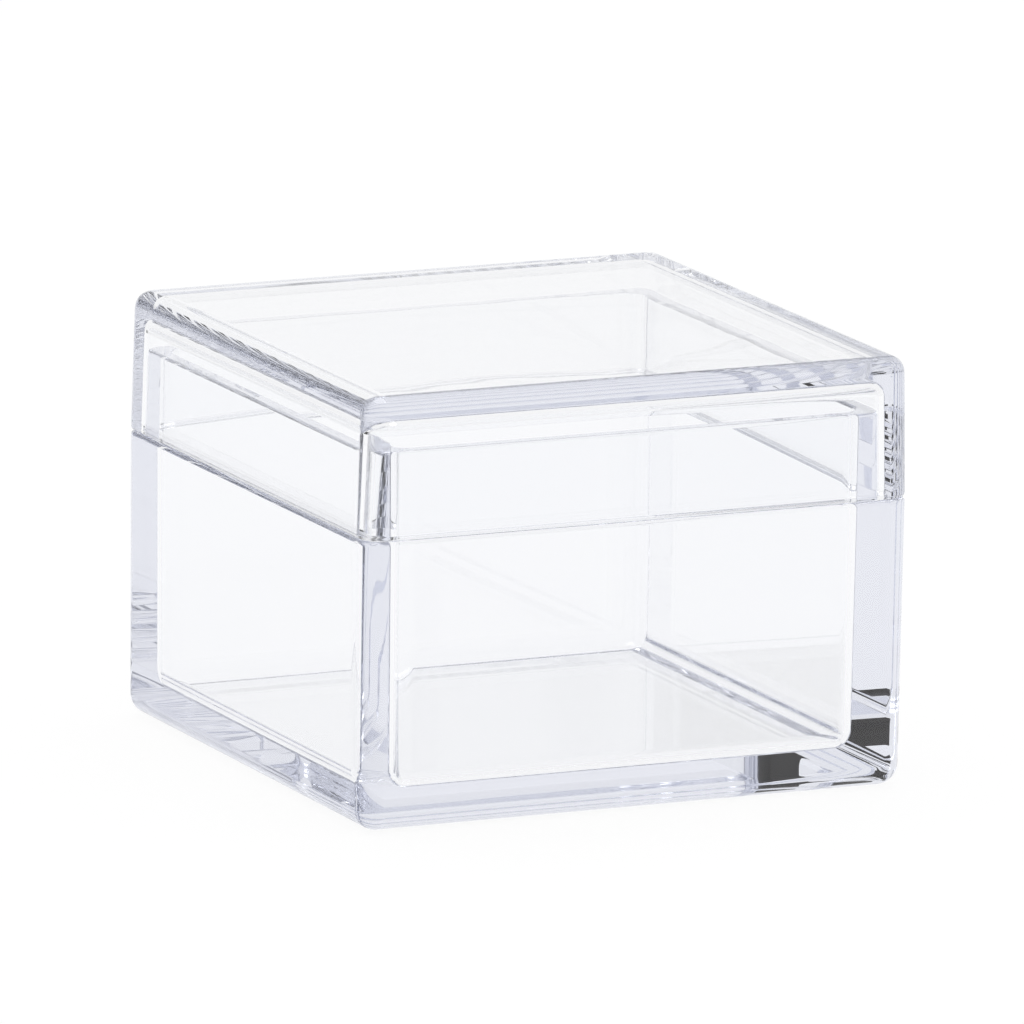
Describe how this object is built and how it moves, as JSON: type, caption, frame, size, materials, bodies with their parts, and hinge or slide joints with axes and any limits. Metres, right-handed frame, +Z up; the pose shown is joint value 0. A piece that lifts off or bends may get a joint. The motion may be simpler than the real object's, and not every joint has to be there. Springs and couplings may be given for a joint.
{
  "type": "clear storage box with lid",
  "caption": "Small square clear plastic box with thick rounded walls and a lift-off lid that slides down over a raised inner rim.",
  "frame": {"origin": "middle of the underside, which the box stands on", "axes": "+Z up, X and Y along the sides of the square plan, -Y towards the front"},
  "size_m": [0.05, 0.05, 0.0366],
  "materials": {
    "clear_base": "clear polished acrylic, moulded",
    "clear_lid": "clear polished acrylic, moulded"
  },
  "bodies": {
    "base": {"base": "clear_base"},
    "lid": {"lid": "clear_lid"}
  },
  "joints": [
    {"name": "lid_lift", "type": "slide", "parent": "base", "child": "lid", "axis": [0, 0, 1], "range_m": [0, 0.025]}
  ]
}
